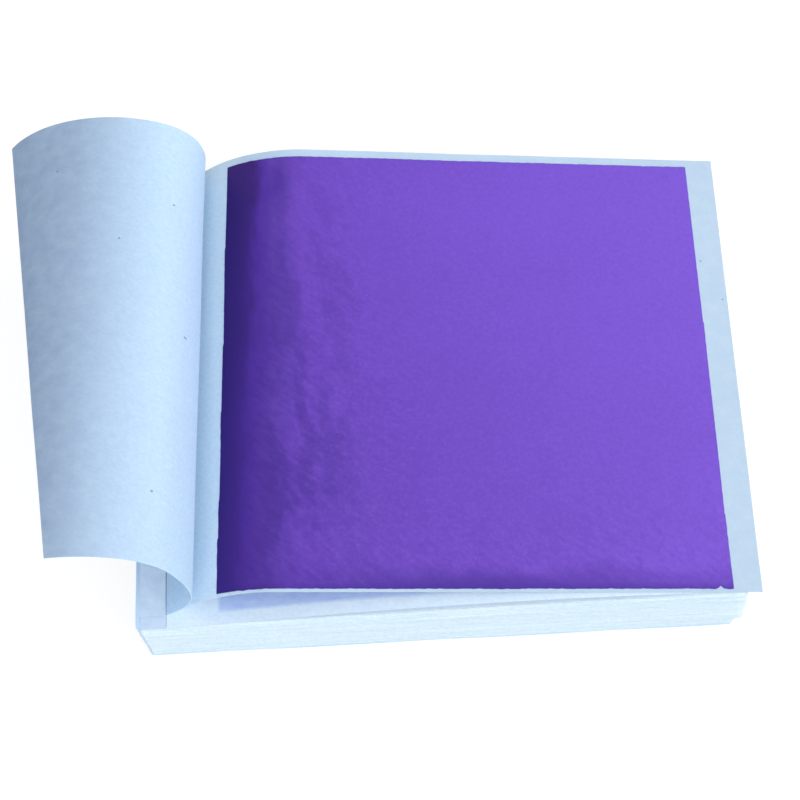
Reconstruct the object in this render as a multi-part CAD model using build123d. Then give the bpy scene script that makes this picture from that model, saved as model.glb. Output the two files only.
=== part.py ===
from build123d import *
import math
import os

# Booklet of metal leaf: a pad of tissue sheets bound along one edge. Each square of metal leaf lies
# on a carrier sheet, with a cover sheet over it, so that a leaf lies on every second sheet. The
# first cover is turned over to the left, and the carrier under it lies open with its leaf on show.
# X runs from the bound spine to the fore-edge, Y along the spine, Z up.
# The origin is the middle of the flat underside of the backing sheet. Sizes are in millimetres.

# Metal leaf, and the tissue that is left bare round it: at the spine, the fore-edge and each side
leaf_width = 85.0
leaf_depth = 80.0
leaf_thickness = 0.04
leaf_setback = 13.4
leaf_fore_margin = 4.4
leaf_side_margin = 1.0
leaf_wander = 0.5
leaf_gap = 0.05

# Tissue sheets, cut to suit the leaf
sheet_width = leaf_setback + leaf_width + leaf_fore_margin
sheet_depth = leaf_side_margin + leaf_depth + leaf_side_margin
sheet_thickness = 0.13
spine_air = 0.02
fore_air = 0.05
cut_wander = 0.25
front_wander = 0.22
wander_step = math.radians(137.5)

# The flat stack below the loose pages, with a carrier at the bottom and at the top
sheets_per_bundle = 5
bundle_count = 19
low_inset = 1.1
low_inset_share = 0.2
fan_back = 2.8

# Backing sheet and padding glue
backing_inset = 1.2
backing_thickness = 0.5
glue_thickness = 0.6
glue_overrun = 2.0

# The crease that every loose page turns on, and the cut either side of it
crease_from_spine = 4.9
crease_gap = 0.25

# The three pages under the open one: flat at the root, then arched by the air between them.
# The middle one is a carrier, and its leaf was laid well back from the front edge
arched_page_names = ("page_05", "page_04", "page_03")
arched_carrier = 1
arched_leaf_back = 1.8
arch_root_length = 4.0
arch_bend_length = 3.0
arch_rise = 1.1

# The open page, seen from the front: a flat root, a rise, a round crown and a long slope that
# comes down just over the end of the page below. Its crown is tighter at the front than at the
# back, and it has slipped out of the glue a little
open_page_back = 3.0
open_page_slip = 2.55
open_page_yaw = 2.05
rise_heading = 42.0
slope_heading = -4.2
root_flat_length = 4.0
root_before_crease = 3.4
root_bend_length = 1.7
front_crown_length = 12.5
back_crown_length = 19.9
front_landing_gap = 0.8
back_landing_gap = 1.5
open_leaf_setback = 14.4
open_leaf_front_margin = 0.6

# The turned page: the heading at its root, then the length and the turn of each round stretch
turned_page_back = 1.9
front_root_heading = 40.0
front_curl_lengths = (13.0, 14.0, 10.6, 9.9)
front_curl_turns = (50.0, 17.0, 43.0, 40.0)
back_root_heading = 6.0
back_curl_lengths = (12.9, 4.4, 8.7, 31.0)
back_curl_turns = (83.0, 18.0, 43.0, 84.0)

# Derived sizes
spine_pitch = sheet_thickness + leaf_thickness + spine_air
fore_pitch = sheet_thickness + leaf_thickness + fore_air
block_count = bundle_count * sheets_per_bundle
loose_count = len(arched_page_names) + 2
backing_width = sheet_width - backing_inset
spine_x = -(glue_thickness + backing_width) / 2
sheet_x = spine_x + glue_thickness
crease_x = spine_x + crease_from_spine
loose_x = crease_x + crease_gap
loose_width = sheet_width - (loose_x - sheet_x)
arch_chord = loose_width - fan_back - arch_root_length - arch_bend_length
front_y = -sheet_depth / 2


def wander(index, amount):
    """An uneven but repeatable offset for sheet number index, between minus and plus amount."""
    return amount * math.sin(index * wander_step)


def leaf_back(index):
    """How far behind the front edge of its sheet a leaf of the stack lies: it was laid by hand."""
    return leaf_side_margin + wander(index * 2 + 1, leaf_wander)


def spine_height(index):
    """Height of the underside of sheet number index at the spine, counted from the backing up."""
    return backing_thickness + index * spine_pitch


def fore_height(index):
    """Height of the underside of sheet number index at the fore-edge."""
    return backing_thickness + index * fore_pitch


def stack_heading(index):
    """Slope of sheet number index, in degrees: the pad is thicker where it isn't glued."""
    return math.degrees(math.atan2(fore_height(index) - spine_height(index), sheet_width))


def bound_start(index):
    """The station where flat sheet number index begins, with its upper corner on the glue."""
    heading = stack_heading(min(index, block_count))
    return sheet_x + sheet_thickness * math.sin(math.radians(heading)), spine_height(index), heading


def block_sheet_width(index):
    """The lowest sheets are short, and above them the fore-edge leans back towards the spine."""
    level = index / (block_count - 1)
    if level < low_inset_share:
        return sheet_width - low_inset + wander(index, cut_wander)
    lean = (level - low_inset_share) / (1 - low_inset_share)
    return sheet_width - lean * fan_back + wander(index, cut_wander)


def advance(station, length, turn):
    """The station (x, z, heading) after a stretch that is straight, or turns evenly by turn."""
    x, z, heading = station
    start = math.radians(heading)
    if turn == 0:
        return x + length * math.cos(start), z + length * math.sin(start), heading
    end = math.radians(heading + turn)
    radius = length / math.radians(turn)
    return (
        x + radius * (math.sin(end) - math.sin(start)),
        z - radius * (math.cos(end) - math.cos(start)),
        heading + turn,
    )


def above(station, offset, y):
    """The point offset from a station, square to its heading, in the upright plane at y."""
    x, z, heading = station
    angle = math.radians(heading)
    return Vector(x - offset * math.sin(angle), y, z + offset * math.cos(angle))


def side(start, run, offset, y):
    """The edges that follow a run of stretches at an offset, and the last station."""
    edges = []
    station = start
    for length, turn in run:
        middle = advance(station, length / 2, turn / 2)
        end = advance(station, length, turn)
        points = [above(place, offset, y) for place in (station, middle, end)]
        if turn == 0:
            edges.append(Edge.make_line(points[0], points[2]))
        else:
            edges.append(Edge.make_three_point_arc(*points))
        station = end
    return edges, station


def section(start, run, low, high, y=0.0):
    """The upright section of a sheet that follows a run, between two offsets from it."""
    under, end = side(start, run, low, y)
    over, _ = side(start, run, high, y)
    root = Edge.make_line(above(start, low, y), above(start, high, y))
    tip = Edge.make_line(above(end, low, y), above(end, high, y))
    return Face(Wire(under + [tip] + over + [root]))


def clip(start, run, skip, keep):
    """The part of a run that begins skip along it and is keep long, with its first station."""
    station = start
    kept = []
    for length, turn in run:
        lead = min(max(skip, 0), length)
        span = min(length - lead, keep)
        skip -= length
        if span <= 0:
            station = advance(station, length, turn)
            continue
        if not kept:
            begin = advance(station, lead, turn * lead / length)
        kept.append((span, turn * span / length))
        keep -= span
        station = advance(station, length, turn)
    return begin, kept


def sheet(start, run, low, high, y, depth):
    """A sheet with one section all along the spine direction."""
    return extrude(section(start, run, low, high, y), amount=depth, dir=(0, 1, 0))


def save(name, *solids):
    """Writes one node, a single solid or a group of like ones."""
    shape = solids[0] if len(solids) == 1 else Compound(list(solids))
    export_step(shape, f"parts/{name}.step")


def backing_sheet():
    """The heavier sheet that closes the pad underneath, flat on the table."""
    return sheet((sheet_x, 0, 0), [(backing_width, 0)], 0, backing_thickness, front_y, sheet_depth)


def spine_glue():
    """The skin of padding glue over the sheets' edges at the spine."""
    height = spine_height(block_count + loose_count)
    return sheet(
        (spine_x, 0, 0), [(glue_thickness, 0)], 0, height, front_y, sheet_depth + glue_overrun
    )


def block_page(index):
    """One flat sheet of the stack."""
    run = [(block_sheet_width(index), 0)]
    y = front_y + wander(index * 2 + 1, front_wander)
    return sheet(bound_start(index), run, 0, sheet_thickness, y, sheet_depth)


def block_leaf(index):
    """The metal leaf that lies on a carrier sheet."""
    begin, run = clip(bound_start(index), [(sheet_width, 0)], leaf_setback, leaf_width)
    y = front_y + wander(index * 2 + 1, front_wander) + leaf_back(index)
    top = sheet_thickness + leaf_thickness
    return sheet(begin, run, sheet_thickness, top, y, leaf_depth)


def loose_height(order, x):
    """Height at x of loose page number order, counted up, where it lies flat on the pages below."""
    start_x, z, heading = bound_start(block_count + order)
    return z + (x - start_x) * math.tan(math.radians(heading))


def page_stub(order, y):
    """The bound strip of a loose page, between the spine and the crease."""
    start = bound_start(block_count + order)
    return sheet(start, [(crease_x - crease_gap - sheet_x, 0)], 0, sheet_thickness, y, sheet_depth)


def arched_run(order):
    """The root station and the stretches of an arched page, each rising more than the last."""
    rise = arch_rise * (order + 1)
    half = 2 * math.atan(2 * rise / arch_chord)
    run = [
        (arch_root_length, 0),
        (arch_bend_length, math.degrees(half)),
        (arch_chord * half / math.sin(half), -2 * math.degrees(half)),
    ]
    return (loose_x, loose_height(order, loose_x), stack_heading(block_count)), run


def arched_page(order):
    start, run = arched_run(order)
    y = front_y + wander(order, front_wander)
    return sheet(start, run, 0, sheet_thickness, y, sheet_depth)


def arched_leaf(order):
    """The leaf on an arched page follows its curve."""
    start, run = arched_run(order)
    begin, kept = clip(start, run, leaf_setback - crease_from_spine, leaf_width)
    y = front_y + wander(order, front_wander) + arched_leaf_back
    low = sheet_thickness + leaf_gap
    return sheet(begin, kept, low, low + leaf_thickness, y, leaf_depth)


def open_root_height():
    """The open page's root is level, and clears the sloping page below it all along."""
    return loose_height(len(arched_page_names), loose_x + root_flat_length)


def last_station(start, run):
    """The station at the end of a run."""
    station = start
    for length, turn in run:
        station = advance(station, length, turn)
    return station


def open_run(crown_length, landing_gap):
    """The open page's root station and stretches, at its front or its back edge."""
    start = (loose_x - root_before_crease, open_root_height(), 0)
    root = [(root_flat_length, 0), (root_bend_length, rise_heading)]
    crown = [(crown_length, slope_heading - rise_heading)]
    # With no rise the slope would pass too low over the end of the page below. The rise makes up
    # for that, by as much as a step along it lifts the line of the slope.
    crown_x, crown_z, _ = last_station(start, root + crown)
    landing_x, landing_z, _ = last_station(*arched_run(len(arched_page_names) - 1))
    slope = math.tan(math.radians(slope_heading))
    short = landing_z + landing_gap - (crown_z + (landing_x - crown_x) * slope)
    rise = math.radians(rise_heading)
    rise_length = short / (math.sin(rise) - math.cos(rise) * slope)
    used = root_flat_length - root_before_crease + root_bend_length + rise_length + crown_length
    slope_length = loose_width + open_page_slip - used
    return start, root + [(rise_length, 0)] + crown + [(slope_length, 0)]


def open_sheet(low, high):
    """A sheet between two offsets from the open page's surface, straight from front to back."""
    y = front_y + open_page_back
    front = section(*open_run(front_crown_length, front_landing_gap), low, high, y)
    back = section(*open_run(back_crown_length, back_landing_gap), low, high, y + sheet_depth)
    return loft([front, back], ruled=True)


def askew(solid):
    """The open page lies a little askew on the pad, turned about its front root corner."""
    corner = (loose_x, front_y + open_page_back, 0)
    return solid.rotate(Axis(corner, (0, 0, 1)), -open_page_yaw)


def open_page():
    """The page that lies open, arched up from the crease and cut off along it."""
    crease_plane = Plane(origin=(loose_x, 0, 0), z_dir=(1, 0, 0))
    return split(askew(open_sheet(0, sheet_thickness)), bisect_by=crease_plane, keep=Keep.TOP)


def open_leaf():
    """The leaf on show, cut square out of a foil that follows the open page."""
    low = sheet_thickness + leaf_gap
    foil = open_sheet(low, low + leaf_thickness)
    start, run = open_run(front_crown_length, front_landing_gap)
    begin, kept = clip(start, run, open_leaf_setback, leaf_width)
    left, _, _ = begin
    right, _, _ = last_station(begin, kept)
    outline = Pos(left, front_y + open_page_back + open_leaf_front_margin, 0) * Box(
        right - left, leaf_depth, sheet_depth, align=(Align.MIN, Align.MIN, Align.MIN)
    )
    return askew(foil & outline)


def turned_page():
    """The page turned over to the left: it curls tighter at its front edge than at its back."""
    z = open_root_height() + spine_pitch
    front_run = list(zip(front_curl_lengths, front_curl_turns))
    back_run = list(zip(back_curl_lengths, back_curl_turns))
    y = front_y + turned_page_back
    front = section((loose_x, z, front_root_heading), front_run, 0, sheet_thickness, y)
    back = section((loose_x, z, back_root_heading), back_run, 0, sheet_thickness, y + sheet_depth)
    return loft([front, back], ruled=True)


os.makedirs("parts", exist_ok=True)

save("backing_sheet", backing_sheet())
save("spine_glue", spine_glue())

for bundle in range(bundle_count):
    indices = range(bundle * sheets_per_bundle, (bundle + 1) * sheets_per_bundle)
    save(f"block_pages_{bundle + 1:02d}", *[block_page(index) for index in indices])
    carriers = [index for index in indices if index % 2 == 0]
    save(f"block_leaves_{bundle + 1:02d}", *[block_leaf(index) for index in carriers])

for order, name in enumerate(arched_page_names):
    save(name, arched_page(order))
save("leaf_04", arched_leaf(arched_carrier))

stub_backs = [wander(order, front_wander) for order in range(len(arched_page_names))]
stub_backs += [open_page_back, turned_page_back]
save("page_stubs", *[page_stub(order, front_y + back) for order, back in enumerate(stub_backs)])

save("open_page", open_page())
save("open_leaf", open_leaf())
save("turned_page", turned_page())
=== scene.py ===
import math

import bmesh
import bpy
from mathutils import Matrix, Vector, noise


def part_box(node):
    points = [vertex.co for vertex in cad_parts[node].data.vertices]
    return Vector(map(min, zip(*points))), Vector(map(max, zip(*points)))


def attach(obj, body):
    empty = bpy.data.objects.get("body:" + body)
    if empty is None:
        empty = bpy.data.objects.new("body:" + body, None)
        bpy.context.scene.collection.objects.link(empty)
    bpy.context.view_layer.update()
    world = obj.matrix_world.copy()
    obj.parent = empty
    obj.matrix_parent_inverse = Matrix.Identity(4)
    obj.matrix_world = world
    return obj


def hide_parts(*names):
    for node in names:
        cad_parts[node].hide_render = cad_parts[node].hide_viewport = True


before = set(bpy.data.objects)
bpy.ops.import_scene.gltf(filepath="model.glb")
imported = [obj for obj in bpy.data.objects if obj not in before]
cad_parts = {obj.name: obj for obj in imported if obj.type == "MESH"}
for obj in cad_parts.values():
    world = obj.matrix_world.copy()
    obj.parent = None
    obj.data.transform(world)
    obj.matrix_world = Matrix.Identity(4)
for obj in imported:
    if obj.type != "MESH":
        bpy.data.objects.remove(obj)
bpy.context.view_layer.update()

# The looks of a booklet of violet metal leaf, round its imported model. The pad is bound at the
# spine, on the left, and its loose pages turn on a crease beside the glue. X runs from the spine
# to the fore-edge, Y from front to back, Z up, in metres. Tables of lengths are in millimetres.

bl_info = {
    "name": "Metal Leaf Booklet",
    "version": (1, 0, 0),
    "blender": (4, 5, 0),
    "location": "3D View > Sidebar > Leaf Booklet",
    "description": "Models a glued pad of tissue sheets with violet metal leaf between them",
    "category": "Add Mesh",
}

MM = 0.001
SHEET_WIDTH = 102.8 * MM
STACK_COUNT = 95
SHEETS_PER_BUNDLE = 5

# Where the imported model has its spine, its crease and the ends of its sheets
GLUE_LOW, GLUE_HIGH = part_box("spine_glue")
BACKING_LOW, BACKING_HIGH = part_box("backing_sheet")
SPINE_X = GLUE_HIGH.x
FRONT_Y = BACKING_LOW.y
SHEET_DEPTH = BACKING_HIGH.y - BACKING_LOW.y
CREASE_X = GLUE_LOW.x + 4.9 * MM
LOOSE_X = CREASE_X + 0.25 * MM

# How far the loose pages, and those under the open one, stand clear of their bound margins
PAGE_CLEARANCE = 0.16 * MM
ARCHED_CLEARANCE = 0.03 * MM

# Length of the faces of a flat sheet, and of one that has to look uneven
FLAT_STEP = 2.5 * MM
UNEVEN_STEP = 0.7 * MM

# Two places closer than this count as one
SAME_PLACE = MM / 100


def linear(code):
    """An sRGB hex colour as the linear values that sockets take."""
    shares = [int(code[place : place + 2], 16) / 255 for place in (1, 3, 5)]
    return [s / 12.92 if s <= 0.04045 else ((s + 0.055) / 1.055) ** 2.4 for s in shares]


def settings():
    return bpy.context.scene.booklet_sizes


def colours():
    return bpy.context.scene.booklet_colours


# Modelling helpers


def alone(piece):
    """Makes a piece the only one selected, and the active one."""
    bpy.ops.object.select_all(action="DESELECT")
    piece.select_set(True)
    bpy.context.view_layer.objects.active = piece


def edit(piece, select="EDGE"):
    """Opens a piece in edit mode with nothing selected, and returns its mesh."""
    alone(piece)
    bpy.ops.object.mode_set(mode="EDIT")
    bpy.ops.mesh.select_mode(type=select)
    bpy.ops.mesh.select_all(action="DESELECT")
    return bmesh.from_edit_mesh(piece.data)


def done():
    bpy.ops.object.mode_set(mode="OBJECT")


def settle(piece):
    """Puts a piece's place, turn and size into its mesh."""
    alone(piece)
    bpy.ops.object.transform_apply(location=True, rotation=True, scale=True)


def apply(piece, modifier):
    alone(piece)
    bpy.ops.object.modifier_apply(modifier=modifier.name)


def thicken(piece, thickness, side):
    """Gives a sheet its thickness, on the side its faces point to (1) or the other one (-1)."""
    modifier = piece.modifiers.new("Thickness", "SOLIDIFY")
    modifier.thickness = thickness
    modifier.offset = side
    apply(piece, modifier)


def smooth(piece, angle=50):
    alone(piece)
    bpy.ops.object.shade_smooth_by_angle(angle=math.radians(angle))


def copy_of(piece, name):
    """A copy of a piece with its own mesh."""
    alone(piece)
    bpy.ops.object.duplicate()
    twin = bpy.context.object
    twin.name = twin.data.name = name
    return twin


def joined(pieces, name):
    """Several pieces as one mesh."""
    bpy.ops.object.select_all(action="DESELECT")
    for piece in pieces:
        piece.select_set(True)
    bpy.context.view_layer.objects.active = pieces[0]
    if len(pieces) > 1:
        bpy.ops.object.join()
    whole = bpy.context.object
    whole.name = whole.data.name = name
    return whole


def advance(station, length, turn):
    """The station (x, z, heading in degrees) after a stretch that is straight or turns evenly."""
    x, z, heading = station
    start = math.radians(heading)
    if turn == 0:
        return x + length * math.cos(start), z + length * math.sin(start), heading
    end = math.radians(heading + turn)
    radius = length / math.radians(turn)
    x += radius * (math.sin(end) - math.sin(start))
    z -= radius * (math.cos(end) - math.cos(start))
    return x, z, heading + turn


def in_metres(run):
    return [(length * MM, turn) for length, turn in run]


def draw_on(station, run, steps, extrude):
    """Draws the selected end of a sheet or edge on along a run: by extruding where it is straight
    and by spinning where it turns."""
    for (length, turn), count in zip(run, steps):
        x, z, heading = station
        angle = math.radians(heading)
        if turn == 0:
            step = Vector((math.cos(angle), 0, math.sin(angle))) * length / count
            for _ in range(count):
                extrude(TRANSFORM_OT_translate={"value": step})
        else:
            radius = length / math.radians(turn)
            centre = (x - radius * math.sin(angle), 0, z + radius * math.cos(angle))
            bpy.ops.mesh.spin(
                steps=count, angle=math.radians(turn), center=centre, axis=(0, 1, 0)
            )
        station = advance(station, length, turn)
    return station


def steps_of(run, step):
    return [max(1, round(length / step)) for length, _ in run]


def sheet(name, station, run, front, back, rows, step):
    """A sheet with one section from front to back: a narrow strip, drawn on along the run."""
    lead = min(step, run[0][0] / 2)
    x, z, heading = station
    angle = math.radians(heading)
    bpy.ops.object.select_all(action="DESELECT")
    bpy.ops.mesh.primitive_grid_add(
        x_subdivisions=1,
        y_subdivisions=rows,
        size=1,
        location=(
            x + math.cos(angle) * lead / 2,
            (front + back) / 2,
            z + math.sin(angle) * lead / 2,
        ),
        rotation=(0, -angle, 0),
    )
    piece = bpy.context.object
    piece.scale = (lead, back - front, 1)
    piece.name = piece.data.name = name
    settle(piece)
    length, turn = run[0]
    begin = advance(station, lead, 0)
    rest = [(length - lead, turn)] + list(run[1:])
    mesh = edit(piece)
    for edge in mesh.edges:
        ends = [v.co for v in edge.verts]
        edge.select = all(math.hypot(c.x - begin[0], c.z - begin[1]) < lead / 10 for c in ends)
    mesh.select_flush(True)
    bmesh.update_edit_mesh(piece.data)
    draw_on(begin, rest, steps_of(rest, step), bpy.ops.mesh.extrude_edges_move)
    done()
    return piece


def outline(name, station, run, steps, y):
    """A chain of edges along a run, in the upright plane at y, from a plane merged to a point."""
    x, z, _ = station
    bpy.ops.object.select_all(action="DESELECT")
    bpy.ops.mesh.primitive_plane_add(size=MM, location=(x, y, z))
    chain = bpy.context.object
    chain.name = chain.data.name = name
    settle(chain)
    edit(chain, select="VERT")
    bpy.ops.mesh.select_all(action="SELECT")
    bpy.ops.mesh.merge(type="CENTER")
    bpy.ops.mesh.select_all(action="SELECT")
    draw_on(station, run, steps, bpy.ops.mesh.extrude_vertices_move)
    bpy.ops.mesh.select_all(action="SELECT")
    bpy.ops.mesh.remove_doubles(threshold=MM / 1000)
    done()
    return chain


def bridged(name, chains, rows):
    """The sheet between two chains, divided into rows."""
    piece = joined(chains, name)
    edit(piece)
    bpy.ops.mesh.select_all(action="SELECT")
    bpy.ops.mesh.bridge_edge_loops(number_cuts=rows - 1, interpolation="LINEAR")
    done()
    return piece


def face_towards(piece, direction):
    """Turns a sheet's faces so that they point to the side that a direction names."""
    total = Vector()
    for face in piece.data.polygons:
        total += face.normal * face.area
    if total.dot(Vector(direction)) < 0:
        edit(piece, select="FACE")
        bpy.ops.mesh.select_all(action="SELECT")
        bpy.ops.mesh.flip_normals()
        done()


def ripple(piece, size, height, level=0.5, group=""):
    """Uneven waves over a sheet, as wide as size and as high as height. A low level lifts them."""
    texture = bpy.data.textures.new(piece.name + " waves", "CLOUDS")
    texture.noise_scale = size
    texture.noise_depth = 2
    modifier = piece.modifiers.new("Waves", "DISPLACE")
    modifier.texture = texture
    modifier.texture_coords = "GLOBAL"
    modifier.strength = height
    modifier.mid_level = level
    modifier.vertex_group = group
    apply(piece, modifier)


def nudge(piece, shift):
    """Moves each vertex by what shift gives for its place, for edges cut or torn unevenly."""
    for vertex in piece.data.vertices:
        vertex.co += shift(vertex.co)


def finish(piece, body, slot, material, *nodes):
    """Gives a finished piece its material and body, and hides the nodes it stands for. Its slot is
    not used.
    """
    piece.data.materials.clear()
    piece.data.materials.append(material)
    smooth(piece)
    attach(piece, body)
    if nodes:
        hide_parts(*nodes)


# Materials

# The noise pattern keeps mostly between these two values
NOISE_SPAN = (0.3, 0.7)

# The leaf's violet from its left end to its right one: at its front edge, and from there back.
# These are painted shade and light: darker where the leaf bends down into the gutter, darker
# towards its front edge than further back, and brighter where it lies level
FRONT_PAINTED_SHADING = (
    (0.0, "#44267C"), (0.03, "#48297F"), (0.06, "#4F2F93"), (0.11, "#513497"),
    (0.17, "#5939A1"), (0.26, "#5D3EA5"), (0.5, "#6241AA"), (1.0, "#6949B3"),
)
REAR_PAINTED_SHADING = (
    (0.0, "#331B69"), (0.05, "#381F71"), (0.078, "#4E2F9C"), (0.12, "#5D3FA8"),
    (0.16, "#6744B3"), (0.26, "#6B48BA"), (0.6, "#724FC3"), (1.0, "#7553C7"),
)


def add_node(tree, kind, inputs=None, output=0, **properties):
    """Adds a node, sets its properties and sockets, and returns one of its outputs. A socket that
    is given another node's output is linked to it."""
    node = tree.nodes.new(kind)
    for name, value in properties.items():
        setattr(node, name, value)
    for socket, value in (inputs or {}).items():
        if isinstance(value, bpy.types.NodeSocket):
            tree.links.new(value, node.inputs[socket])
        else:
            node.inputs[socket].default_value = value
    return node.outputs[output] if len(node.outputs) else None


def new_material(name):
    material = bpy.data.materials.new(name)
    material.use_nodes = True
    material.node_tree.nodes.clear()
    return material, material.node_tree


def solid(colour):
    return (*colour, 1)


def places(tree, widths, turn=0.0):
    """Places on the object in units of the widths, given in millimetres, turned in plan."""
    where = add_node(tree, "ShaderNodeTexCoord", output="Object")
    return add_node(
        tree,
        "ShaderNodeMapping",
        {
            "Vector": where,
            "Rotation": (0, 0, math.radians(turn)),
            "Scale": [MM * width for width in widths],
        },
        vector_type="TEXTURE",
    )


def lumps(tree, widths, detail=3, turn=0.0, roughness=0.5):
    """An uneven pattern whose lumps are as wide as widths says along each axis, in millimetres."""
    vector = places(tree, widths, turn)
    return add_node(
        tree,
        "ShaderNodeTexNoise",
        {"Vector": vector, "Scale": 1.0, "Detail": detail, "Roughness": roughness},
    )


def share(tree, *fades):
    """The product of fades. A fade is an output, or an output with the two values that it fades
    between and, where they aren't 0 and 1, the shares at those."""
    product = None
    for fade in fades:
        if isinstance(fade, tuple):
            sockets = ("Value", "From Min", "From Max", "To Min", "To Max")
            fade = add_node(tree, "ShaderNodeMapRange", dict(zip(sockets, fade)))
        if product is None:
            product = fade
        else:
            product = add_node(
                tree, "ShaderNodeMath", {0: product, 1: fade}, operation="MULTIPLY"
            )
    return product


def lay_over(tree, colour, tint, *fades):
    """Lays a tint over a colour, as strongly as the product of its fades. The sockets of the mix
    are numbered, because it has the same names for each type."""
    return add_node(
        tree,
        "ShaderNodeMix",
        {0: share(tree, *fades), 6: colour, 7: tint},
        output=2,
        data_type="RGBA",
    )


def tissue_material(
    name, pale, dense, clots=(2.5, 2.0, 2.5), see_through=0.0, leaf_below=None, tint=None
):
    """Long-fibred white tissue, machine made and left soft: matt and milky. Its fibres clot into
    pale and dense patches, a few dark shives lie in it, and light comes through a single sheet.
    A tint (axis, where it is full, where it ends, colour) stands for light or shade that gathers
    on one side."""
    material, tree = new_material(name)
    colour = lay_over(
        tree, solid(dense), solid(pale), (lumps(tree, clots, detail=4), *NOISE_SPAN)
    )
    if tint:
        axis, full, end, tinted = tint
        where = add_node(tree, "ShaderNodeTexCoord", output="Object")
        place = add_node(tree, "ShaderNodeSeparateXYZ", {"Vector": where}, output=axis)
        colour = lay_over(tree, colour, solid(tinted), (place, full, end, 1.0, 0.0))

    # Fibres are 0.02 mm wide and too fine to show, so they are drawn as tangles of 0.5 to 0.8 mm
    tangles = lumps(tree, (0.8, 0.5, 0.8), detail=5, turn=-25, roughness=0.7)
    fibres = share(tree, (tangles, *NOISE_SPAN))
    colour = lay_over(tree, colour, solid(colours().fibre), (fibres, 0, 1, 0.26, 0.0))

    # One shive, 0.2 to 0.4 mm across, in each 25 mm of the sheet
    shives = add_node(
        tree,
        "ShaderNodeTexVoronoi",
        {"Vector": places(tree, (25, 25, 25)), "Scale": 1.0},
        voronoi_dimensions="2D",
    )
    colour = lay_over(tree, colour, solid(colours().speck), (shives, 0.004, 0.008, 0.7, 0.0))
    if leaf_below:
        through = solid(colours().leaf_through_tissue)
        colour = lay_over(tree, colour, through, *over_leaf(tree, leaf_below))
    bump = add_node(
        tree, "ShaderNodeBump", {"Strength": 0.35, "Distance": 0.05 * MM, "Height": fibres}
    )
    surface = add_node(
        tree,
        "ShaderNodeBsdfPrincipled",
        {"Base Color": colour, "Roughness": 0.85, "IOR": 1.5, "Normal": bump},
    )
    if see_through:
        through = add_node(tree, "ShaderNodeBsdfTranslucent", {"Color": colour, "Normal": bump})
        surface = add_node(
            tree, "ShaderNodeMixShader", {0: see_through, 1: surface, 2: through}
        )
    add_node(tree, "ShaderNodeOutputMaterial", {"Surface": surface})
    return material


def over_leaf(tree, box):
    """Fades that are full where a leaf lies under the tissue. The paper blurs its edges, and lies
    on it closely in some places only."""
    low, high = box
    blur = 0.35 * MM
    where = add_node(tree, "ShaderNodeTexCoord", output="Object")
    axes = add_node(tree, "ShaderNodeSeparateXYZ", {"Vector": where}).node.outputs
    fades = [(lumps(tree, (2.5, 1.2, 2.5)), *NOISE_SPAN, 0.40, 0.60)]
    for axis, start, end in (("X", low.x, high.x), ("Y", low.y, high.y)):
        fades.append((axes[axis], start - blur, start + blur))
        fades.append((axes[axis], end - blur, end + blur, 1.0, 0.0))
    return fades


def pair(name):
    """A tissue's pale and dense colours."""
    return getattr(colours(), name), getattr(colours(), name + "_dense")


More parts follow.
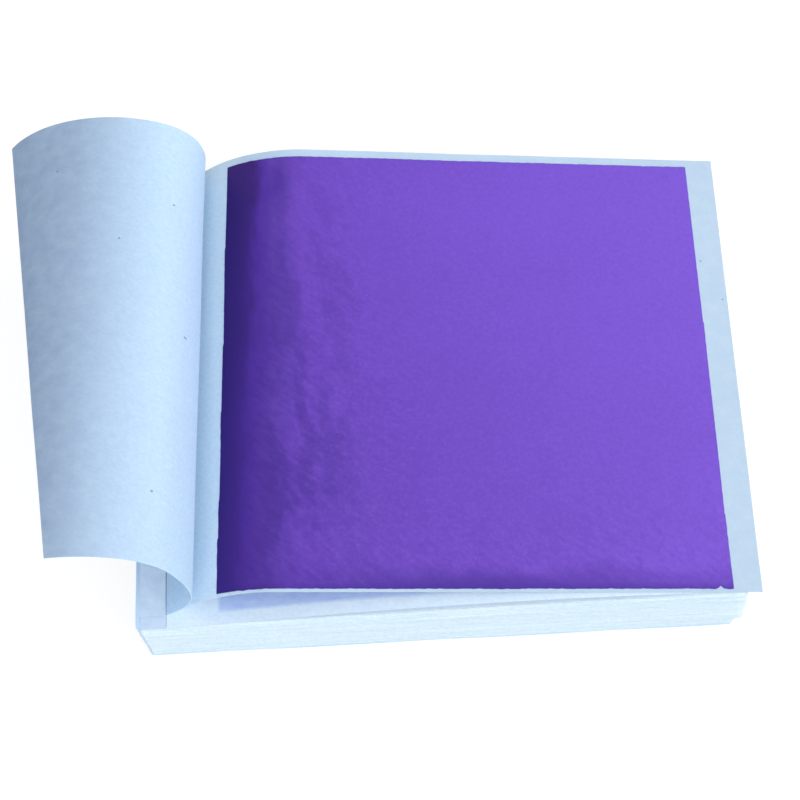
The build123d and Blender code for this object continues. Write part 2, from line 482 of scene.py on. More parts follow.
def leaf_material(name, left, front, turn, corner):
    """Aluminium leaf, beaten thin and lacquered violet: a satin metal, too thin to lie flat. Its
    colour is painted bright where it lies level, with painted shade where it bends down to the
    gutter and at its front edge. It is crinkled and dented where it was laid, with painted shade
    in the folds and dents and painted highlights on the ridges. Places on it are in millimetres
    along it from its left end, and in depth from its front edge."""
    material, tree = new_material(name)
    # The colours of its painted shade and highlights, also used for its grain
    dark, bright = solid(colours().leaf_shade_and_grain), solid(colours().leaf_highlight_and_grain)
    squared = add_node(
        tree,
        "ShaderNodeVectorRotate",
        {
            "Vector": places(tree, (1, 1, 1)),
            "Center": (corner[0] / MM, corner[1] / MM, 0),
            "Angle": -turn,
        },
        rotation_type="Z_AXIS",
    )
    axes = add_node(tree, "ShaderNodeSeparateXYZ", {"Vector": squared}).node.outputs
    along = add_node(tree, "ShaderNodeMath", {0: axes["X"], 1: left / MM}, operation="SUBTRACT")
    depth = add_node(tree, "ShaderNodeMath", {0: axes["Y"], 1: front / MM}, operation="SUBTRACT")

    # Its painted shade and light, whose borders waver along the bend
    waver = share(
        tree,
        (lumps(tree, (4.0, 11.0, 8.0)), *NOISE_SPAN, -1.6, 1.6),
        (along, 1.5, 9, 0.35, 1.6),
    )
    wavering = add_node(tree, "ShaderNodeMath", {0: along, 1: waver}, operation="ADD")
    bent = share(tree, (wavering, 0, LEAF_WIDTH / MM))
    shaded = []
    for shades in (FRONT_PAINTED_SHADING, REAR_PAINTED_SHADING):
        ramp = add_node(tree, "ShaderNodeValToRGB", {"Fac": bent})
        elements = ramp.node.color_ramp.elements
        while len(elements) < len(shades):
            elements.new(0.5)
        for element, (place, code) in zip(elements, shades):
            element.position = place
            element.color = solid(linear(code))
        shaded.append(ramp)
    colour = lay_over(tree, *shaded, (depth, 10, 72))

    # Painted shade in long dents beside the bend
    dents = add_node(
        tree,
        "ShaderNodeMapRange",
        {
            "Value": lumps(tree, (4.5, 12.0, 8.0), turn=14),
            "From Min": 0.46,
            "From Max": 0.60,
            "To Max": 0.5,
        },
        interpolation_type="SMOOTHERSTEP",
    )
    colour = lay_over(
        tree,
        colour,
        dark,
        dents,
        (along, 5, 9),
        (along, 14, 26, 1.0, 0.0),
        (depth, 25, 78, 1.0, 0.25),
    )

    # Crinkles, 1 to 3 mm wide, with painted shade in their folds and painted highlights on their
    # ridges
    crinkles = lumps(tree, (2.6, 1.0, 1.6), detail=5, turn=-40, roughness=0.6)
    from_left = share(tree, (along, 6, 36, 0.34, 0.0))
    from_front = share(tree, (depth, 0, 22, 0.18, 0.0))
    reach = add_node(tree, "ShaderNodeMath", {0: from_left, 1: from_front}, operation="MAXIMUM")
    reach = share(tree, reach, (depth, 30, 76, 1.0, 0.3))
    colour = lay_over(tree, colour, dark, (crinkles, 0.36, 0.52, 1.0, 0.0), reach)
    colour = lay_over(
        tree, colour, bright, (crinkles, 0.52, 0.95), reach, (along, 4, 16, 0.0, 0.8)
    )

    # The grain of beaten metal, finer than 0.1 mm in life and drawn 0.7 mm wide so that it shows
    beaten = lumps(tree, (0.7, 0.7, 0.7), detail=4, roughness=0.65)
    grain = share(tree, (beaten, *NOISE_SPAN, -0.5, 0.5))
    colour = lay_over(tree, colour, dark, (grain, 0, 0.5, 0.0, 0.10))
    colour = lay_over(tree, colour, bright, (grain, -0.5, 0, 0.08, 0.0), (along, 6, 20))

    # Painted shade in the band along the front edge, 3 to 6 mm deep, where the leaf droops, and on
    # the edge itself
    droop = share(tree, (lumps(tree, (9.0, 9.0, 9.0), detail=1), *NOISE_SPAN, 3.0, 6.5))
    band = add_node(
        tree,
        "ShaderNodeMapRange",
        {"Value": depth, "From Min": 0.6, "From Max": droop, "To Min": 0.75, "To Max": 0.0},
        interpolation_type="SMOOTHSTEP",
    )
    colour = lay_over(
        tree, colour, dark, band, (along, 10, 38, 0.3, 1.0), (along, 45, 80, 1.0, 0.45)
    )
    colour = lay_over(tree, colour, dark, (depth, 0.1, 1.0, 0.55, 0.0))

    # A pinhole near the front
    pinhole = (left / MM + 68.8, front / MM + 4.1, 23.4)
    off = add_node(
        tree, "ShaderNodeVectorMath", {0: squared, 1: pinhole}, output="Value", operation="DISTANCE"
    )
    colour = lay_over(tree, colour, dark, (off, 0.12, 0.34, 0.8, 0.0))

    rough = add_node(
        tree, "ShaderNodeMath", {0: grain, 1: 0.4, 2: crinkles}, operation="MULTIPLY_ADD"
    )
    height = share(tree, rough, (along, 3, 10, 0.15, 1.0))
    bump = add_node(
        tree, "ShaderNodeBump", {"Strength": 0.4, "Distance": 0.05 * MM, "Height": height}
    )
    surface = add_node(
        tree,
        "ShaderNodeBsdfPrincipled",
        {"Base Color": colour, "Metallic": 0.8, "Roughness": 0.45, "Normal": bump},
    )
    add_node(tree, "ShaderNodeOutputMaterial", {"Surface": surface})
    return material


def glue_material():
    """Padding glue, brushed on and dried to a skin: milky, a little glossy, with brush ridges."""
    material, tree = new_material("padding glue, brushed and dried")
    ridges = lumps(tree, (2.0, 9.0, 0.5))
    colour = lay_over(
        tree, solid(colours().glue), solid(colours().glue_pale), (ridges, *NOISE_SPAN)
    )
    bump = add_node(
        tree, "ShaderNodeBump", {"Strength": 0.5, "Distance": 0.12 * MM, "Height": ridges}
    )
    surface = add_node(
        tree,
        "ShaderNodeBsdfPrincipled",
        {"Base Color": colour, "Roughness": 0.42, "IOR": 1.47, "Normal": bump},
    )
    add_node(tree, "ShaderNodeOutputMaterial", {"Surface": surface})
    return material


def backing_material():
    """Heavier wove paper, pressed smooth and a little bluer than the tissue."""
    material, tree = new_material("wove backing paper, pressed")
    grain = share(tree, (lumps(tree, (0.9, 0.9, 0.9)), *NOISE_SPAN))
    colour = lay_over(tree, solid(colours().backing), solid(colours().backing_grain_and_stack_shade), grain)
    bump = add_node(
        tree, "ShaderNodeBump", {"Strength": 0.25, "Distance": 0.03 * MM, "Height": grain}
    )
    surface = add_node(
        tree,
        "ShaderNodeBsdfPrincipled",
        {"Base Color": colour, "Roughness": 0.75, "IOR": 1.5, "Normal": bump},
    )
    add_node(tree, "ShaderNodeOutputMaterial", {"Surface": surface})
    return material


def seen_directly(tree):
    """1 for what the camera, gloss and glass see, and 0 for the rays that light the object."""
    rays = add_node(tree, "ShaderNodeLightPath").node.outputs
    seen = rays["Is Camera Ray"]
    for ray in ("Is Glossy Ray", "Is Transmission Ray"):
        seen = add_node(tree, "ShaderNodeMath", {0: seen, 1: rays[ray]}, operation="MAXIMUM")
    return seen


def floor_material():
    """A plain matt floor that the camera, gloss and glass see almost white, with a soft shadow."""
    material, tree = new_material("matt white floor")
    plain = add_node(tree, "ShaderNodeBsdfDiffuse", {"Color": solid(linear("#959595"))})
    dim = add_node(tree, "ShaderNodeBsdfDiffuse", {"Color": solid(linear("#868686"))})
    glow = add_node(
        tree, "ShaderNodeEmission", {"Color": solid(linear("#FFFFFF")), "Strength": 0.80}
    )
    both = add_node(tree, "ShaderNodeAddShader", {0: dim, 1: glow})
    surface = add_node(tree, "ShaderNodeMixShader", {0: seen_directly(tree), 1: plain, 2: both})
    add_node(tree, "ShaderNodeOutputMaterial", {"Surface": surface})
    return material


# Settings


class BookletSizes(bpy.types.PropertyGroup):
    sheet_thickness: bpy.props.FloatProperty(
        name="Sheet thickness",
        description="Thickness that a tissue sheet is drawn with",
        default=0.13 * MM,
        unit="LENGTH",
        precision=5,
    )
    leaf_thickness: bpy.props.FloatProperty(
        name="Leaf thickness",
        description="Thickness that a metal leaf is drawn with",
        default=0.04 * MM,
        unit="LENGTH",
        precision=5,
    )
    sheet_pitch: bpy.props.FloatProperty(
        name="Sheet pitch",
        description="Height from one sheet to the next at the spine",
        default=0.19 * MM,
        unit="LENGTH",
        precision=5,
    )
    open_page_turn: bpy.props.FloatProperty(
        name="Open page turn",
        description="How far the open page lies askew on the pad",
        default=math.radians(-2.05),
        unit="ROTATION",
    )
    grid: bpy.props.FloatProperty(
        name="Grid",
        description="Length of the faces of the loose pages",
        default=1.0 * MM,
        unit="LENGTH",
        precision=4,
    )
    camera_place: bpy.props.FloatVectorProperty(
        name="Camera place",
        description="Where the camera stands",
        default=(-0.01574, -0.09969, 0.25078),
        subtype="TRANSLATION",
        precision=5,
    )
    camera_turn: bpy.props.FloatVectorProperty(
        name="Camera turn",
        description="How the camera is turned",
        default=[math.radians(angle) for angle in (22.796, -1.065, -3.493)],
        subtype="EULER",
        precision=4,
    )


def colour_setting(name, description, code):
    return bpy.props.FloatVectorProperty(
        name=name, description=description, default=linear(code), subtype="COLOR", min=0, max=1
    )


class BookletColours(bpy.types.PropertyGroup):
    tissue: colour_setting("Tissue", "Tissue sheet with air on both sides", "#D6E7F6")
    tissue_dense: colour_setting("Dense tissue", "Its dense patches", "#CFE2F3")
    # Painted light: paler tissue beside the crease, where light gathers between the pages
    crease_light: colour_setting("Tissue at the crease", "Pages beside the crease", "#DFF2FF")
    fibre: colour_setting("Fibre", "Fibres in the tissue", "#9DB6D6")
    speck: colour_setting("Speck", "Dark shives in the tissue", "#4E6079")
    leaf_through_tissue: colour_setting(
        "Leaf through tissue", "Tissue over a leaf", "#7392E4"
    )
    # Painted shade in the leaf's folds, dents and front, and the dark of its grain and pinhole
    leaf_shade_and_grain: colour_setting("Dark leaf", "Leaf in its folds and dents", "#3E2882")
    # Painted highlight on the leaf's ridges, and the bright of its grain
    leaf_highlight_and_grain: colour_setting("Bright leaf", "Leaf on its ridges", "#9A78EA")
    shaded: colour_setting("Shaded tissue", "Turned page and bound margins", "#C8D9E9")
    shaded_dense: colour_setting("Dense shaded tissue", "Its dense patches", "#B9CCE1")
    # A lighter copy of the tissue for the cut faces: partly the whiter look of many sheets
    # together, partly painted light on faces that meet the key light
    stack: colour_setting("Stack", "Cut edges of the stacked tissue", "#E6F3F9")
    stack_dense: colour_setting("Dense stack", "Dense patches in the stack", "#DBECF4")
    # A darker copy of the tissue, used on the open page: painted shade
    bound: colour_setting("Bound tissue", "Tissue that lies on other sheets", "#BDD3E6")
    bound_dense: colour_setting("Dense bound tissue", "Its dense patches", "#B6CDE3")
    glue: colour_setting("Glue", "Padding glue", "#A9C3DC")
    glue_pale: colour_setting("Pale glue", "Padding glue where it is thin", "#BFD7EE")
    backing: colour_setting("Backing", "Backing paper", "#B4D8EE")
    # Also the painted shade on the lowest sheets of the stack
    backing_grain_and_stack_shade: colour_setting("Pale backing", "Grain of the backing paper", "#BFE0F4")


# The pad

# How much more each sheet of the stack rises towards the fore-edge than the one below it
FORE_RISE = 0.03 * MM
STACK_HEADING = math.degrees(math.atan2(STACK_COUNT * FORE_RISE, SHEET_WIDTH))

# How unevenly the sheets are cut and laid at the fore-edge and at the front, in millimetres
FORE_WANDER = 0.25
FRONT_WANDER = 0.22

# The turn from each sheet's offset to the next one's, which keeps neighbours unlike
WANDER_TURN = math.radians(137.5)

# Sheets are cut in small batches that lie a little apart: sheets in a batch, how far it is shifted
# and tilted, and how far from the spine it is tilted about, in millimetres
LEAST_IN_BATCH, MORE_IN_BATCH = 2, 8.778
BATCH_SHIFT, BATCH_TILT, BATCH_MIDDLE = 0.275, 0.2, 50

# The lowest fifth of the stack is short, and the rest leans back towards the spine
LOW_SHARE = 0.2
LOW_INSET = 1.1 * MM
LEAN_BACK = 2.8 * MM

# Heights on the stack between which painted shade, in the pale backing colour, fades out upwards:
# the lowest sheets are painted darker and bluer
LOW_STACK_SHADE = (BACKING_HIGH.z + 0.3 * MM, BACKING_HIGH.z + 1.6 * MM)

# Rows of faces from front to back
BACKING_ROWS, STACK_ROWS, MARGIN_ROWS = 40, 8, 60


def flat_start(index):
    """The station where flat sheet number index begins, counted up from the backing."""
    height = BACKING_HIGH.z + index * settings().sheet_pitch
    slope = math.degrees(math.atan2(min(index, STACK_COUNT) * FORE_RISE, SHEET_WIDTH))
    return SPINE_X + settings().sheet_thickness * math.sin(math.radians(slope)), height, slope


def wander(index, amount):
    """An uneven but repeatable offset for sheet number index, of up to amount."""
    return amount * math.sin(index * WANDER_TURN)


def stack_width(index):
    """How far a sheet of the stack reaches from the spine."""
    level = index / (STACK_COUNT - 1)
    width = SHEET_WIDTH + wander(index, FORE_WANDER) * MM
    if level < LOW_SHARE:
        return width - LOW_INSET
    return width - LEAN_BACK * (level - LOW_SHARE) / (1 - LOW_SHARE)


def front_of(index):
    """Where the front edge of a sheet of the stack or of a loose page lies."""
    return FRONT_Y + wander(index, FRONT_WANDER) * MM


def batch_offsets():
    """The shift and tilt of each sheet of the stack, which all sheets of a batch share."""
    offsets = []
    batch = 0
    while len(offsets) < STACK_COUNT:
        batch += 1
        extra = int(MORE_IN_BATCH * abs(uneven(batch * 3.7, 0.5, 0.5)))
        shift = BATCH_SHIFT * uneven(batch * 1.31, 4.2, 0.7)
        tilt = BATCH_TILT * uneven(batch * 2.17, 8.4, 1.3)
        offsets += [(shift, tilt)] * (LEAST_IN_BATCH + extra)
    return offsets


def near(distance, reach):
    """1 at an edge, falling to 0 at reach from it."""
    return max(0.0, 1 - distance / reach)


def uneven(x, y, z):
    """Smooth noise around 0. A number that is fixed in a call picks another part of the noise."""
    return noise.noise(Vector((x, y, z)))


class OBJECT_OT_booklet_backing(bpy.types.Operator):
    """Adds the backing sheet, with its corners worn round"""

    bl_idname = "booklet.add_backing"
    bl_label = "Backing Sheet"
    corner_radius = 0.9 * MM

    def execute(self, context):
        width = BACKING_HIGH.x - BACKING_LOW.x
        piece = sheet(
            "backing_card",
            (BACKING_LOW.x, BACKING_LOW.z, 0),
            [(width, 0)],
            BACKING_LOW.y,
            BACKING_HIGH.y,
            BACKING_ROWS,
            FLAT_STEP,
        )
        face_towards(piece, (0, 0, 1))
        mesh = edit(piece, select="VERT")
        for vertex in mesh.verts:
            at_side = min(vertex.co.x - BACKING_LOW.x, BACKING_HIGH.x - vertex.co.x) < SAME_PLACE
            at_end = min(vertex.co.y - BACKING_LOW.y, BACKING_HIGH.y - vertex.co.y) < SAME_PLACE
            vertex.select = at_side and at_end
        mesh.select_flush(True)
        bmesh.update_edit_mesh(piece.data)
        bpy.ops.mesh.bevel(offset=self.corner_radius, segments=4, affect="VERTICES")
        done()
        thicken(piece, BACKING_HIGH.z - BACKING_LOW.z, 1)
        finish(piece, "pad", "backing", backing_material(), "backing_sheet")
        return {"FINISHED"}


class OBJECT_OT_booklet_glue(bpy.types.Operator):
    """Adds the skin of padding glue on the spine, with the ridges that the brush left"""

    bl_idname = "booklet.add_glue"
    bl_label = "Padding Glue"
    ridge_size = (0.8 * MM, 14 * MM)
    lump_size = (5 * MM, 7 * MM)
    ridge_height = 0.16 * MM

    def execute(self, context):
        low, high = GLUE_LOW, GLUE_HIGH
        piece = sheet(
            "padding_glue",
            (high.x, low.z, 90),
            [(high.z - low.z, 0)],
            low.y,
            high.y,
            round((high.y - low.y) / UNEVEN_STEP),
            UNEVEN_STEP,
        )
        face_towards(piece, (-1, 0, 0))
        thicken(piece, high.x - low.x, 1)

        def brushed(place):
            if place.x > (low.x + high.x) / 2:
                return Vector()
            ridge = uneven(place.z / self.ridge_size[0], place.y / self.ridge_size[1], 3)
            lump = uneven(place.z / self.lump_size[0], place.y / self.lump_size[1], 9)
            return Vector((self.ridge_height * (ridge + lump), 0, 0))

        nudge(piece, brushed)
        finish(piece, "pad", "glue", glue_material(), "spine_glue")
        return {"FINISHED"}


class OBJECT_OT_booklet_stack(bpy.types.Operator):
    """Adds the flat sheets of the stack in bundles of five, with their cut edges uneven"""

    bl_idname = "booklet.add_stack"
    bl_label = "Stack of Sheets"

    # How far in from its sides and from its end a sheet is uneven
    side_reach, end_reach = 8 * MM, 6 * MM

    # In millimetres: how far the sides lie out, and how much they, the end and the height waver
    side_out, side_waver, end_waver, height_waver = 0.15, 0.14, 0.35, 0.03

    # In millimetres, how far in a side may lie. Further in, the leaf under it would show
    most_in = 0.05

    def execute(self, context):
        # Its tint is painted shade on the lowest sheets
        material = tissue_material(
            "long-fibred tissue, stacked",
            *pair("stack"),
            clots=(25.0, 25.0, 0.3),
            tint=("Z", *LOW_STACK_SHADE, colours().backing_grain_and_stack_shade),
        )
        bundles = sorted(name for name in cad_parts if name.startswith("block_pages_"))
        if not bundles:
            raise RuntimeError("The frame has no bundles of pages")
        run = [(SHEET_WIDTH, 0)]
        whole = sheet("whole sheet", (0, 0, 0), run, 0, SHEET_DEPTH, STACK_ROWS, FLAT_STEP)
        face_towards(whole, (0, 0, 1))
        offsets = batch_offsets()
        for bundle, node in enumerate(bundles):
            first = bundle * SHEETS_PER_BUNDLE
            sheets = [
                self.one_sheet(whole, index, *offsets[index])
                for index in range(first, first + SHEETS_PER_BUNDLE)
            ]
            piece = joined(sheets, node.replace("block_pages", "stack_sheets"))
            finish(piece, "pad", "tissue", material, node)
        bpy.data.objects.remove(whole)
        return {"FINISHED"}

    def one_sheet(self, whole, index, shift, tilt):
        front = front_of(index * 2 + 1)
        back = front + SHEET_DEPTH
        width = stack_width(index)
        x, z, slope = flat_start(index)
        piece = copy_of(whole, f"sheet {index}")
        piece.scale.x = width / SHEET_WIDTH
        piece.rotation_euler.y = -math.radians(slope)
        piece.location = (x, front, z)
        settle(piece)

        def cut(place):
            along = (place.x - SPINE_X) / MM
            at_front = near(place.y - front, self.side_reach)
            at_back = near(back - place.y, self.side_reach)
            at_end = near(SPINE_X + width - place.x, self.end_reach)
            line = shift - self.side_out + tilt * (along / BATCH_MIDDLE - 1)
            line += self.side_waver * uneven(along / 14, index * 0.9, 2)
            line = min(line, self.most_in)
            fore = self.end_waver * uneven(place.y / (17 * MM), index * 0.35, 5)
            rise = self.height_waver * uneven(along / 9, index * 1.3, 8)
            sideways = (at_front - at_back) * line
            return Vector((at_end * fore, sideways, (at_front + at_back) * rise)) * MM

        nudge(piece, cut)
        thicken(piece, settings().sheet_thickness, 1)
        return piece


class OBJECT_OT_booklet_margins(bpy.types.Operator):
    """Adds the bound margins of the loose pages, between the glue and the crease"""

    bl_idname = "booklet.add_margins"
    bl_label = "Bound Margins"

    def execute(self, context):
        fronts = [front_of(order) for order in range(len(ARCHED_PAGES))]
        fronts += [FRONT_Y + OPEN_BACK, FRONT_Y + TURNED_BACK]
        strips = []
        for order, front in enumerate(fronts):
            start = flat_start(STACK_COUNT + order)
            run = [(CREASE_X - ARCHED_CLEARANCE - start[0], 0)]
            back = front + SHEET_DEPTH
            strip = sheet(f"margin {order}", start, run, front, back, MARGIN_ROWS, UNEVEN_STEP)
            face_towards(strip, (0, 0, 1))
            thicken(strip, settings().sheet_thickness, 1)
            strips.append(strip)
        piece = joined(strips, "bound_margins")
        finish(
            piece,
            "pad",
            "tissue",
            tissue_material("long-fibred tissue, bound", *pair("shaded")),
            "page_stubs",
        )
        return {"FINISHED"}


# The loose pages

# The pages under the open one, from the lowest: a flat root, a short bend up and a low arch
ARCHED_PAGES = ("page_05", "page_04", "page_03")
ARCH_ROOT, ARCH_BEND, ARCH_RISE = 4 * MM, 3 * MM, 1.1 * MM

# The open page at its front and its rear edge: the length and the turn of each stretch
OPEN_FRONT = in_metres([(4.0, 0), (1.7, 42), (6.679, 0), (12.5, -46.2), (79.321, 0)])
OPEN_REAR = in_metres([(4.0, 0), (1.7, 42), (3.732, 0), (19.9, -46.2), (74.868, 0)])
OPEN_BACK = 3.0 * MM
ROOT_BEFORE_CREASE = 3.4 * MM
OPEN_ROOT_MIDDLE = 4.0 * MM

# Width and height of the waves in the pages below, in the open page with its leaf and in the
# turned page, and of the creases in the leaf
ARCHED_WAVES = (14 * MM, 0.05 * MM)
OPEN_WAVES = (30 * MM, 0.35 * MM)
TURNED_WAVES = (35 * MM, 0.4 * MM)
LEAF_CREASES = (5 * MM, 0.35 * MM)

# Where the painted light that gathers at the crease is full on the two top pages, and where it ends
OPEN_GLOW = (LOOSE_X + 8.5 * MM, LOOSE_X + 15 * MM)
TURNED_GLOW = (LOOSE_X + 2 * MM, LOOSE_X - 13 * MM)

# The open leaf, and where it lies on its page
LEAF_SETBACK, LEAF_WIDTH, LEAF_DEPTH = 14.4 * MM, 85 * MM, 80 * MM
LEAF_FRONT_MARGIN = 0.6 * MM
LEAF_AIR = 0.05 * MM

# The turned page: the heading at its root, then its stretches
TURNED_BACK = 1.9 * MM
FRONT_ROOT_HEADING, BACK_ROOT_HEADING = 40, 6
FRONT_CURL = in_metres([(13.0, 50), (14.0, 17), (10.6, 43), (9.9, 40)])
BACK_CURL = in_metres([(12.9, 83), (4.4, 18), (8.7, 43), (31.0, 84)])


def stack_height(order, x):
    """Height at x of loose page number order, where it lies flat on the stack."""
    start_x, z, slope = flat_start(STACK_COUNT + order)
    return z + (x - start_x) * math.tan(math.radians(slope))


def open_root_height():
    return stack_height(len(ARCHED_PAGES), LOOSE_X + OPEN_ROOT_MIDDLE)


class OBJECT_OT_booklet_arched_pages(bpy.types.Operator):
    """Adds the three pages under the open one, each arched a little more than the one below"""

    bl_idname = "booklet.add_arched_pages"
    bl_label = "Arched Pages"

    def execute(self, context):
        for order, node in enumerate(ARCHED_PAGES):
            loose_width = SHEET_WIDTH - (LOOSE_X - SPINE_X)
            chord = loose_width - LEAN_BACK - ARCH_ROOT - ARCH_BEND
            half = 2 * math.atan(2 * ARCH_RISE * (order + 1) / chord)
            arc = chord * half / math.sin(half)
            half = math.degrees(half)
            start_x = CREASE_X + ARCHED_CLEARANCE
            start = (start_x, stack_height(order, start_x), STACK_HEADING)
            run = [(LOOSE_X + ARCH_ROOT - start_x, 0), (ARCH_BEND, half), (arc, -2 * half)]
            front = front_of(order)
            step = settings().grid
            rows = round(SHEET_DEPTH / step)
            name = node.replace("page", "tissue")
            piece = sheet(name, start, run, front, front + SHEET_DEPTH, rows, step)
            face_towards(piece, (0, 0, 1))
            ripple(piece, *ARCHED_WAVES)
            thicken(piece, settings().sheet_thickness, 1)
            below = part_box("leaf_04") if node == "page_03" else None
            material = tissue_material(
                f"long-fibred tissue, {node}", *pair("tissue"), leaf_below=below
            )
            finish(piece, node, "tissue", material, node)
        return {"FINISHED"}


def turned_askew(piece):
    """Turns a piece with the open page, about its front corner at the crease."""
    corner = Vector((LOOSE_X, FRONT_Y + OPEN_BACK, 0))
    turn = Matrix.Rotation(settings().open_page_turn, 4, "Z")
    piece.matrix_world = Matrix.Translation(corner) @ turn @ Matrix.Translation(-corner)
    settle(piece)


def open_surface(name, lift, step):
    """The surface of the open page, or one that lies a lift above it, before it is turned askew."""
    start = (LOOSE_X - ROOT_BEFORE_CREASE, open_root_height() + lift, 0)
    front = FRONT_Y + OPEN_BACK
    steps = steps_of([max(a, b) for a, b in zip(OPEN_FRONT, OPEN_REAR)], step)
    chains = []
    for label, run, y in (("front", OPEN_FRONT, front), ("rear", OPEN_REAR, front + SHEET_DEPTH)):
        raised = [(length - lift * math.radians(turn), turn) for length, turn in run]
        chains.append(outline(f"{name} {label}", start, raised, steps, y))
    return bridged(name, chains, round(SHEET_DEPTH / step))


def cut_away(piece, place, outwards):
    """Cuts off all that lies beyond an upright plane."""
    edit(piece, select="FACE")
    bpy.ops.mesh.select_all(action="SELECT")
    bpy.ops.mesh.bisect(plane_co=place, plane_no=outwards, clear_outer=True)
    done()


class OBJECT_OT_booklet_open_page(bpy.types.Operator):
    """Adds the page that lies open, arched up from the crease and cut off along it"""

    bl_idname = "booklet.add_open_page"
    bl_label = "Open Page"

    def execute(self, context):
        piece = open_surface("open_tissue", 0, settings().grid)
        face_towards(piece, (0, 0, 1))
        turned_askew(piece)
        cut_away(piece, (CREASE_X + PAGE_CLEARANCE, 0, 0), (-1, 0, 0))
        ripple(piece, *OPEN_WAVES)
        thicken(piece, settings().sheet_thickness, 1)
        # Its tint is painted light beside the crease
        material = tissue_material(
            "long-fibred tissue, single",
            *pair("bound"),
            see_through=0.1,
            tint=("X", *OPEN_GLOW, colours().crease_light),
        )
        finish(piece, "open_page", "tissue", material, "open_page")
        return {"FINISHED"}


class OBJECT_OT_booklet_open_leaf(bpy.types.Operator):
    """Adds the violet leaf on show, with its edges torn a little where it was cut"""

    bl_idname = "booklet.add_open_leaf"
    bl_label = "Leaf on Show"

    # How far in from its edges the leaf is torn. In millimetres: how deep along its front and
    # rear, in fine and in broad steps, and along its ends, and the notch at the front right
    torn_reach = 1.2 * MM
    fine_tear, broad_tear, end_tear = 0.10, 0.08, 0.04
    notch_from_right, notch_width, notch_depth = 2.2, 0.35, 0.5

    # The part at the front left that is creased
    creased_width, creased_depth = 22 * MM, 70 * MM

    def execute(self, context):
        piece = open_surface(
            "leaf_on_show", settings().sheet_thickness + LEAF_AIR, settings().grid / 2
        )
        left, right = self.ends()
        front = FRONT_Y + OPEN_BACK + LEAF_FRONT_MARGIN
        back = front + LEAF_DEPTH
        cut_away(piece, (left, 0, 0), (-1, 0, 0))
        cut_away(piece, (right, 0, 0), (1, 0, 0))
        cut_away(piece, (0, front, 0), (0, -1, 0))
        cut_away(piece, (0, back, 0), (0, 1, 0))
        face_towards(piece, (0, 0, 1))

        def torn(place):
            cut = self.fine_tear * uneven(place.x / (0.9 * MM), 3, 1)
            cut += self.broad_tear * uneven(place.x / (6 * MM), 7, 2)
            end_cut = self.end_tear * uneven(place.y / (1.1 * MM), 5, 4)
            at_front = near(place.y - front, self.torn_reach)
            at_back = near(back - place.y, self.torn_reach)
            at_left = near(place.x - left, self.torn_reach)
            at_right = near(right - place.x, self.torn_reach)
            from_notch = (right - place.x) / MM - self.notch_from_right
            notch = self.notch_depth * math.exp(-((from_notch / self.notch_width) ** 2))
            across = at_front * (cut + notch) - at_back * cut
            return Vector(((at_left - at_right) * end_cut, across, 0)) * MM

        nudge(piece, torn)
        turned_askew(piece)
        ripple(piece, *OPEN_WAVES)
        creased = piece.vertex_groups.new(name="creased")
        for vertex in piece.data.vertices:
            at_left = near(vertex.co.x - left, self.creased_width)
            at_front = near(vertex.co.y - front, self.creased_depth)
            creased.add([vertex.index], at_left * at_front, "REPLACE")
        ripple(piece, *LEAF_CREASES, level=0.25, group="creased")
        thicken(piece, settings().leaf_thickness, 1)
        material = leaf_material(
            "aluminium leaf, violet lacquer",
            left,
            front,
            settings().open_page_turn,
            (LOOSE_X, FRONT_Y + OPEN_BACK),
        )
        finish(piece, "open_leaf", "leaf", material, "open_leaf")
        return {"FINISHED"}

    def ends(self):
        """Where the leaf begins and ends, measured along the page's front edge."""
        places = []
        for distance in (LEAF_SETBACK, LEAF_SETBACK + LEAF_WIDTH):
            station = (LOOSE_X - ROOT_BEFORE_CREASE, open_root_height(), 0)
            for length, turn in OPEN_FRONT:
                part = min(length, distance)
                station = advance(station, part, turn * part / length)
                distance -= part
            places.append(station[0])
        return places


class OBJECT_OT_booklet_turned_page(bpy.types.Operator):
    """Adds the page turned over to the left, curled tighter at its front edge than at its back"""

    bl_idname = "booklet.add_turned_page"
    bl_label = "Turned Page"

    def execute(self, context):
        x = CREASE_X + PAGE_CLEARANCE
        z = open_root_height() + settings().sheet_pitch
        front = FRONT_Y + TURNED_BACK
        back = front + SHEET_DEPTH
        steps = steps_of([max(a, b) for a, b in zip(FRONT_CURL, BACK_CURL)], settings().grid)
        chains = [
            outline("turned front", (x, z, FRONT_ROOT_HEADING), FRONT_CURL, steps, front),
            outline("turned back", (x, z, BACK_ROOT_HEADING), BACK_CURL, steps, back),
        ]
        piece = bridged("turned_tissue", chains, round(SHEET_DEPTH / settings().grid))
        face_towards(piece, (1, 0, 0.5))
        ripple(piece, *TURNED_WAVES)
        thicken(piece, settings().sheet_thickness, -1)
        # Its tint is painted light beside the crease, on the shaded copy of the tissue
        material = tissue_material(
            "long-fibred tissue, curled",
            *pair("shaded"),
            see_through=0.5,
            tint=("X", *TURNED_GLOW, colours().crease_light),
        )
        finish(piece, "turned_page", "tissue", material, "turned_page")
        return {"FINISHED"}


class OBJECT_OT_booklet_hidden_leaves(bpy.types.Operator):
    """Gives the leaves between the sheets below their finish"""

    bl_idname = "booklet.finish_hidden_leaves"
    bl_label = "Leaves Inside"

    def execute(self, context):
        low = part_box("leaf_04")[0]
        # They get the same painted shade and highlights as the leaf on show
        material = leaf_material(
            "aluminium leaf, violet lacquer, flat", low.x, low.y, 0.0, (low.x, low.y)
        )
        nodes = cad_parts.items()
        leaves = [node for name, node in nodes if "leaf_0" in name or "leaves" in name]
        if not leaves:
            raise RuntimeError("The frame has no leaves")
        for node in leaves:
            node.data.materials.clear()
            node.data.materials.append(material)
        return {"FINISHED"}


# The stage

# The soft sun: where its light comes from, its strength and how wide it looks, in degrees
SUN_TOWARDS = (0.54, -0.68, 0.49)
SUN_STRENGTH, SUN_WIDTH = 4.1, 115
ROOM_STRENGTH = 0.5
LENS = 64.55


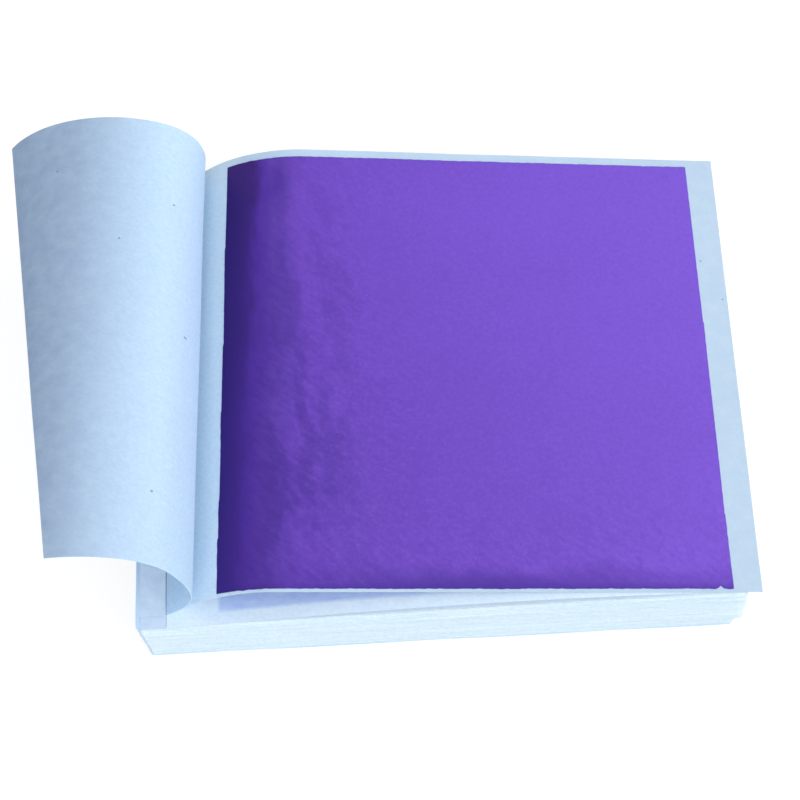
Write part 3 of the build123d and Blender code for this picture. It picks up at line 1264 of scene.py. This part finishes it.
class SCENE_OT_booklet_stage(bpy.types.Operator):
    """Adds the floor, the soft light and the camera"""

    bl_idname = "booklet.add_stage"
    bl_label = "Stage"

    def execute(self, context):
        scene = context.scene
        bpy.ops.object.select_all(action="DESELECT")
        bpy.ops.mesh.primitive_plane_add(size=6, location=(0, 0, -0.02 * MM))
        floor = context.object
        floor.name = "floor"
        floor.data.materials.append(floor_material())

        world = bpy.data.worlds.new("soft white room")
        scene.world = world
        world.use_nodes = True
        tree = world.node_tree
        tree.nodes.clear()
        white = solid(linear("#FFFFFF"))
        lit = {"Color": white, "Strength": ROOM_STRENGTH}
        room = add_node(tree, "ShaderNodeBackground", lit)
        shown = add_node(tree, "ShaderNodeBackground", {"Color": white, "Strength": 1.0})
        mix = add_node(tree, "ShaderNodeMixShader", {0: seen_directly(tree), 1: room, 2: shown})
        add_node(tree, "ShaderNodeOutputWorld", {"Surface": mix})

        bpy.ops.object.light_add(type="SUN", location=(0.3, -0.4, 0.3))
        sun = context.object
        sun.name = "soft key light"
        sun.rotation_euler = Vector(SUN_TOWARDS).to_track_quat("Z", "Y").to_euler()
        sun.data.energy = SUN_STRENGTH
        sun.data.angle = math.radians(SUN_WIDTH)

        bpy.ops.object.camera_add(
            location=settings().camera_place, rotation=settings().camera_turn
        )
        camera = context.object
        camera.name = "camera"
        camera.data.sensor_width = 36
        camera.data.lens = LENS
        camera.data.clip_start = 10 * MM
        camera.data.clip_end = 20
        scene.camera = camera
        scene.view_settings.view_transform = "Standard"
        return {"FINISHED"}


OPERATORS = (
    OBJECT_OT_booklet_backing,
    OBJECT_OT_booklet_glue,
    OBJECT_OT_booklet_stack,
    OBJECT_OT_booklet_margins,
    OBJECT_OT_booklet_hidden_leaves,
    OBJECT_OT_booklet_arched_pages,
    OBJECT_OT_booklet_open_page,
    OBJECT_OT_booklet_open_leaf,
    OBJECT_OT_booklet_turned_page,
    SCENE_OT_booklet_stage,
)


class VIEW3D_PT_booklet(bpy.types.Panel):
    bl_label = "Leaf Booklet"
    bl_idname = "VIEW3D_PT_booklet"
    bl_space_type = "VIEW_3D"
    bl_region_type = "UI"
    bl_category = "Leaf Booklet"

    def draw(self, context):
        for group in (context.scene.booklet_sizes, context.scene.booklet_colours):
            box = self.layout.box()
            for name in group.bl_rna.properties.keys():
                if name not in ("rna_type", "name"):
                    box.prop(group, name)
        for operator in OPERATORS:
            self.layout.operator(operator.bl_idname)


CLASSES = (BookletSizes, BookletColours, *OPERATORS, VIEW3D_PT_booklet)


def register():
    for cls in CLASSES:
        bpy.utils.register_class(cls)
    bpy.types.Scene.booklet_sizes = bpy.props.PointerProperty(type=BookletSizes)
    bpy.types.Scene.booklet_colours = bpy.props.PointerProperty(type=BookletColours)


def unregister():
    del bpy.types.Scene.booklet_colours
    del bpy.types.Scene.booklet_sizes
    for cls in reversed(CLASSES):
        bpy.utils.unregister_class(cls)


def main():
    register()
    bpy.ops.booklet.add_backing()
    bpy.ops.booklet.add_glue()
    bpy.ops.booklet.add_stack()
    bpy.ops.booklet.add_margins()
    bpy.ops.booklet.finish_hidden_leaves()
    bpy.ops.booklet.add_arched_pages()
    bpy.ops.booklet.add_open_page()
    bpy.ops.booklet.add_open_leaf()
    bpy.ops.booklet.add_turned_page()
    bpy.ops.booklet.add_stage()


if __name__ == "__main__":
    main()
